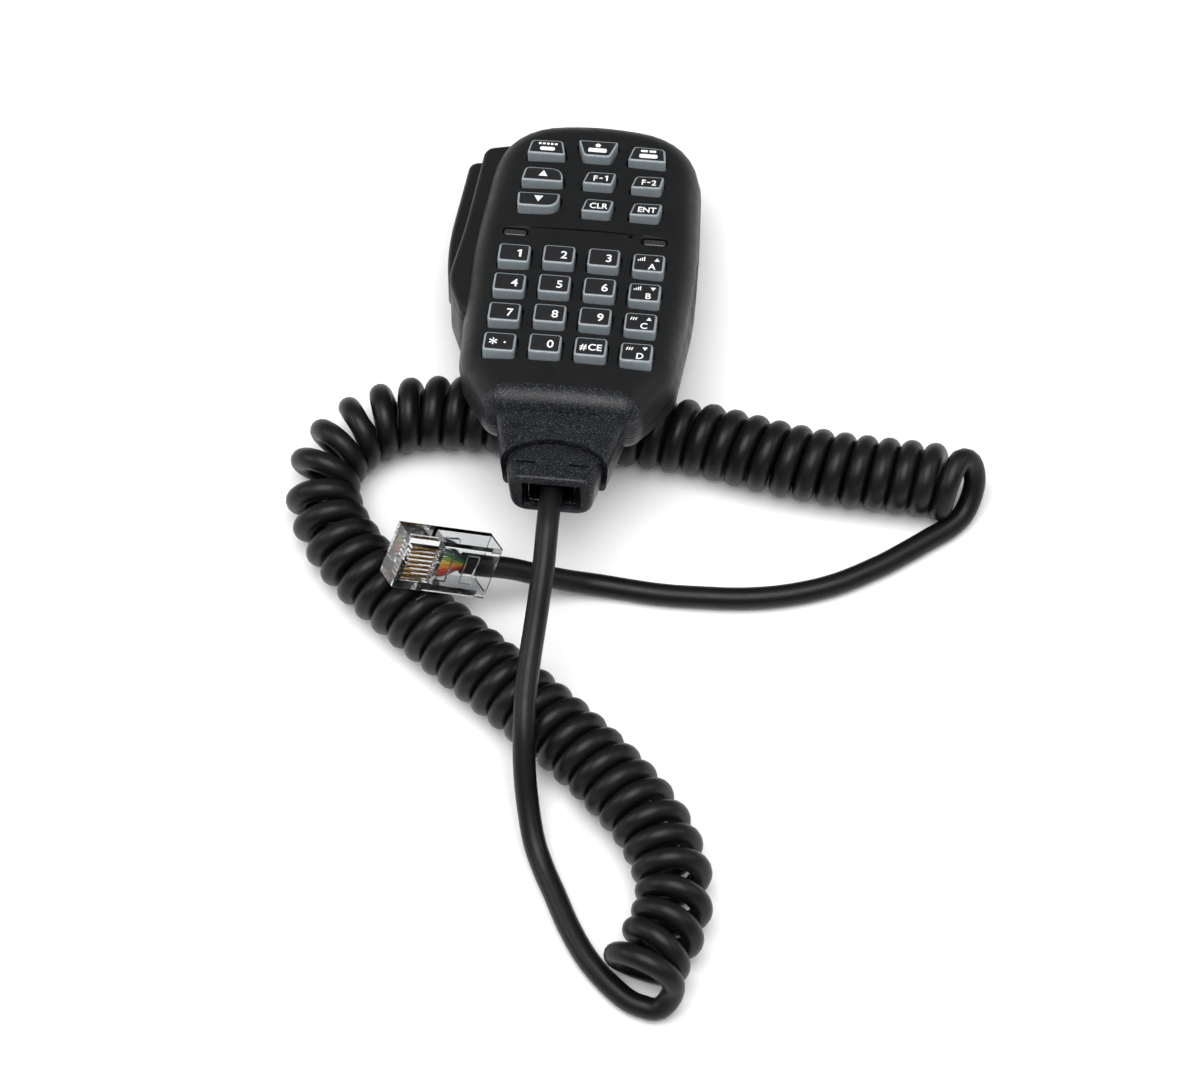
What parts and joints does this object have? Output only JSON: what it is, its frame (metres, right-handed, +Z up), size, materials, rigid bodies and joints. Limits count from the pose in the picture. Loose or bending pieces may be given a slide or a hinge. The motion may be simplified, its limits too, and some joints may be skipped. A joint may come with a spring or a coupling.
{
  "type": "hand microphone",
  "caption": "Black hand-held radio microphone with a lit keypad, push-to-talk lever, hanger stud and a coiled cord that ends in a clear modular plug.",
  "frame": {"origin": "centre of the underside of the box round the microphone, without its cord and plug", "axes": "+X to the right of the keypad, +Y towards the microphone's top end, +Z up, with the microphone lying on its back"},
  "size_m": [0.1458, 0.1973, 0.0383],
  "materials": {
    "case_plastic": "black moulded plastic, satin with fine texture at the neck",
    "lever_plastic": "black moulded plastic, smooth satin",
    "key_plastic": "translucent grey plastic with a black printed top and light legend",
    "smoke_plastic": "smoky translucent light pipe",
    "mat_rubber": "grey silicone rubber",
    "board_laminate": "green circuit board laminate",
    "steel": "plated steel",
    "gold": "gold-plated contacts",
    "clear_plastic": "clear polycarbonate",
    "cord_rubber": "black cord jacket, satin"
  },
  "bodies": {
    "case": {"case_screw_1": "steel", "case_screw_2": "steel", "case_screw_3": "steel", "cord_coil": "cord_rubber", "cord_mic_lead": "cord_rubber", "cord_plug_lead": "cord_rubber", "front_case": "case_plastic", "hanger_stud": "case_plastic", "jack_ribbon": "mat_rubber", "keypad_mat": "mat_rubber", "lever_pin": "steel", "main_board": "board_laminate", "microphone_boot": "mat_rubber", "microphone_element": "steel", "modular_jack": "lever_plastic", "neck_cap": "case_plastic", "plug_body": "clear_plastic", "plug_contact_1": "gold", "plug_contact_2": "gold", "plug_contact_3": "gold", "plug_contact_4": "gold", "plug_contact_5": "gold", "plug_contact_6": "gold", "plug_contact_7": "gold", "plug_contact_8": "gold", "plug_wires": "gold", "rear_case": "case_plastic", "seated_plug": "clear_plastic", "stud_screw": "steel", "talk_switch": "lever_plastic", "window_left": "smoke_plastic", "window_right": "smoke_plastic"},
    "key_1_body": {"key_1": "key_plastic"},
    "key_2_body": {"key_2": "key_plastic"},
    "key_3_body": {"key_3": "key_plastic"},
    "key_a_body": {"key_a": "key_plastic"},
    "key_4_body": {"key_4": "key_plastic"},
    "key_5_body": {"key_5": "key_plastic"},
    "key_6_body": {"key_6": "key_plastic"},
    "key_b_body": {"key_b": "key_plastic"},
    "key_7_body": {"key_7": "key_plastic"},
    "key_8_body": {"key_8": "key_plastic"},
    "key_9_body": {"key_9": "key_plastic"},
    "key_c_body": {"key_c": "key_plastic"},
    "key_star_body": {"key_star": "key_plastic"},
    "key_0_body": {"key_0": "key_plastic"},
    "key_hash_body": {"key_hash": "key_plastic"},
    "key_d_body": {"key_d": "key_plastic"},
    "key_top_left_body": {"key_top_left": "key_plastic"},
    "key_top_centre_body": {"key_top_centre": "key_plastic"},
    "key_top_right_body": {"key_top_right": "key_plastic"},
    "key_up_body": {"key_up": "key_plastic"},
    "key_down_body": {"key_down": "key_plastic"},
    "key_f1_body": {"key_f1": "key_plastic"},
    "key_f2_body": {"key_f2": "key_plastic"},
    "key_clear_body": {"key_clear": "key_plastic"},
    "key_enter_body": {"key_enter": "key_plastic"},
    "lever": {"talk_lever": "lever_plastic"},
    "plunger": {"talk_plunger": "mat_rubber"},
    "latch": {"plug_latch": "clear_plastic"}
  },
  "joints": [
    {"name": "key_1_press", "type": "slide", "parent": "case", "child": "key_1_body", "axis": [0, -0.1736, -0.9848], "range_m": [0, 0.0009], "stiffness_N_per_m": 1500, "springref_m": -0.0002},
    {"name": "key_2_press", "type": "slide", "parent": "case", "child": "key_2_body", "axis": [0, -0.1736, -0.9848], "range_m": [0, 0.0009], "stiffness_N_per_m": 1500, "springref_m": -0.0002},
    {"name": "key_3_press", "type": "slide", "parent": "case", "child": "key_3_body", "axis": [0, -0.1736, -0.9848], "range_m": [0, 0.0009], "stiffness_N_per_m": 1500, "springref_m": -0.0002},
    {"name": "key_a_press", "type": "slide", "parent": "case", "child": "key_a_body", "axis": [0, -0.1736, -0.9848], "range_m": [0, 0.0009], "stiffness_N_per_m": 1500, "springref_m": -0.0002},
    {"name": "key_4_press", "type": "slide", "parent": "case", "child": "key_4_body", "axis": [0, -0.1736, -0.9848], "range_m": [0, 0.0009], "stiffness_N_per_m": 1500, "springref_m": -0.0002},
    {"name": "key_5_press", "type": "slide", "parent": "case", "child": "key_5_body", "axis": [0, -0.1736, -0.9848], "range_m": [0, 0.0009], "stiffness_N_per_m": 1500, "springref_m": -0.0002},
    {"name": "key_6_press", "type": "slide", "parent": "case", "child": "key_6_body", "axis": [0, -0.1736, -0.9848], "range_m": [0, 0.0009], "stiffness_N_per_m": 1500, "springref_m": -0.0002},
    {"name": "key_b_press", "type": "slide", "parent": "case", "child": "key_b_body", "axis": [0, -0.1736, -0.9848], "range_m": [0, 0.0009], "stiffness_N_per_m": 1500, "springref_m": -0.0002},
    {"name": "key_7_press", "type": "slide", "parent": "case", "child": "key_7_body", "axis": [0, -0.1736, -0.9848], "range_m": [0, 0.0009], "stiffness_N_per_m": 1500, "springref_m": -0.0002},
    {"name": "key_8_press", "type": "slide", "parent": "case", "child": "key_8_body", "axis": [0, -0.1736, -0.9848], "range_m": [0, 0.0009], "stiffness_N_per_m": 1500, "springref_m": -0.0002},
    {"name": "key_9_press", "type": "slide", "parent": "case", "child": "key_9_body", "axis": [0, -0.1736, -0.9848], "range_m": [0, 0.0009], "stiffness_N_per_m": 1500, "springref_m": -0.0002},
    {"name": "key_c_press", "type": "slide", "parent": "case", "child": "key_c_body", "axis": [0, -0.1736, -0.9848], "range_m": [0, 0.0009], "stiffness_N_per_m": 1500, "springref_m": -0.0002},
    {"name": "key_star_press", "type": "slide", "parent": "case", "child": "key_star_body", "axis": [0, -0.1736, -0.9848], "range_m": [0, 0.0009], "stiffness_N_per_m": 1500, "springref_m": -0.0002},
    {"name": "key_0_press", "type": "slide", "parent": "case", "child": "key_0_body", "axis": [0, -0.1736, -0.9848], "range_m": [0, 0.0009], "stiffness_N_per_m": 1500, "springref_m": -0.0002},
    {"name": "key_hash_press", "type": "slide", "parent": "case", "child": "key_hash_body", "axis": [0, -0.1736, -0.9848], "range_m": [0, 0.0009], "stiffness_N_per_m": 1500, "springref_m": -0.0002},
    {"name": "key_d_press", "type": "slide", "parent": "case", "child": "key_d_body", "axis": [0, -0.1736, -0.9848], "range_m": [0, 0.0009], "stiffness_N_per_m": 1500, "springref_m": -0.0002},
    {"name": "key_top_left_press", "type": "slide", "parent": "case", "child": "key_top_left_body", "axis": [0, -0.1736, -0.9848], "range_m": [0, 0.0009], "stiffness_N_per_m": 1500, "springref_m": -0.0002},
    {"name": "key_top_centre_press", "type": "slide", "parent": "case", "child": "key_top_centre_body", "axis": [0, -0.1736, -0.9848], "range_m": [0, 0.0009], "stiffness_N_per_m": 1500, "springref_m": -0.0002},
    {"name": "key_top_right_press", "type": "slide", "parent": "case", "child": "key_top_right_body", "axis": [0, -0.1736, -0.9848], "range_m": [0, 0.0009], "stiffness_N_per_m": 1500, "springref_m": -0.0002},
    {"name": "key_up_press", "type": "slide", "parent": "case", "child": "key_up_body", "axis": [0, -0.1736, -0.9848], "range_m": [0, 0.0009], "stiffness_N_per_m": 1500, "springref_m": -0.0002},
    {"name": "key_down_press", "type": "slide", "parent": "case", "child": "key_down_body", "axis": [0, -0.1736, -0.9848], "range_m": [0, 0.0009], "stiffness_N_per_m": 1500, "springref_m": -0.0002},
    {"name": "key_f1_press", "type": "slide", "parent": "case", "child": "key_f1_body", "axis": [0, -0.1736, -0.9848], "range_m": [0, 0.0009], "stiffness_N_per_m": 1500, "springref_m": -0.0002},
    {"name": "key_f2_press", "type": "slide", "parent": "case", "child": "key_f2_body", "axis": [0, -0.1736, -0.9848], "range_m": [0, 0.0009], "stiffness_N_per_m": 1500, "springref_m": -0.0002},
    {"name": "key_clear_press", "type": "slide", "parent": "case", "child": "key_clear_body", "axis": [0, -0.1736, -0.9848], "range_m": [0, 0.0009], "stiffness_N_per_m": 1500, "springref_m": -0.0002},
    {"name": "key_enter_press", "type": "slide", "parent": "case", "child": "key_enter_body", "axis": [0, -0.1736, -0.9848], "range_m": [0, 0.0009], "stiffness_N_per_m": 1500, "springref_m": -0.0002},
    {"name": "talk_lever_hinge", "type": "hinge", "parent": "case", "child": "lever", "pos_m": [-0.01978, 0.03881, 0.01196], "axis": [0, 0.1736, 0.9848], "range_deg": [0, 3.5], "stiffness_Nm_per_rad": 1, "springref_deg": -1.15},
    {"name": "talk_plunger_slide", "type": "slide", "parent": "case", "child": "plunger", "axis": [1, 0, 0], "range_m": [0, 0.0015]},
    {"name": "plug_latch_hinge", "type": "hinge", "parent": "case", "child": "latch", "pos_m": [-0.02744, -0.05788, 0.02276], "axis": [-0.305, -0.5744, -0.7596], "range_deg": [0, 8], "stiffness_Nm_per_rad": 0.3, "springref_deg": -0.57}
  ],
  "couplings": [
    {"joint": "talk_plunger_slide", "follows": "talk_lever_hinge", "m_per_rad": 0.0232}
  ]
}
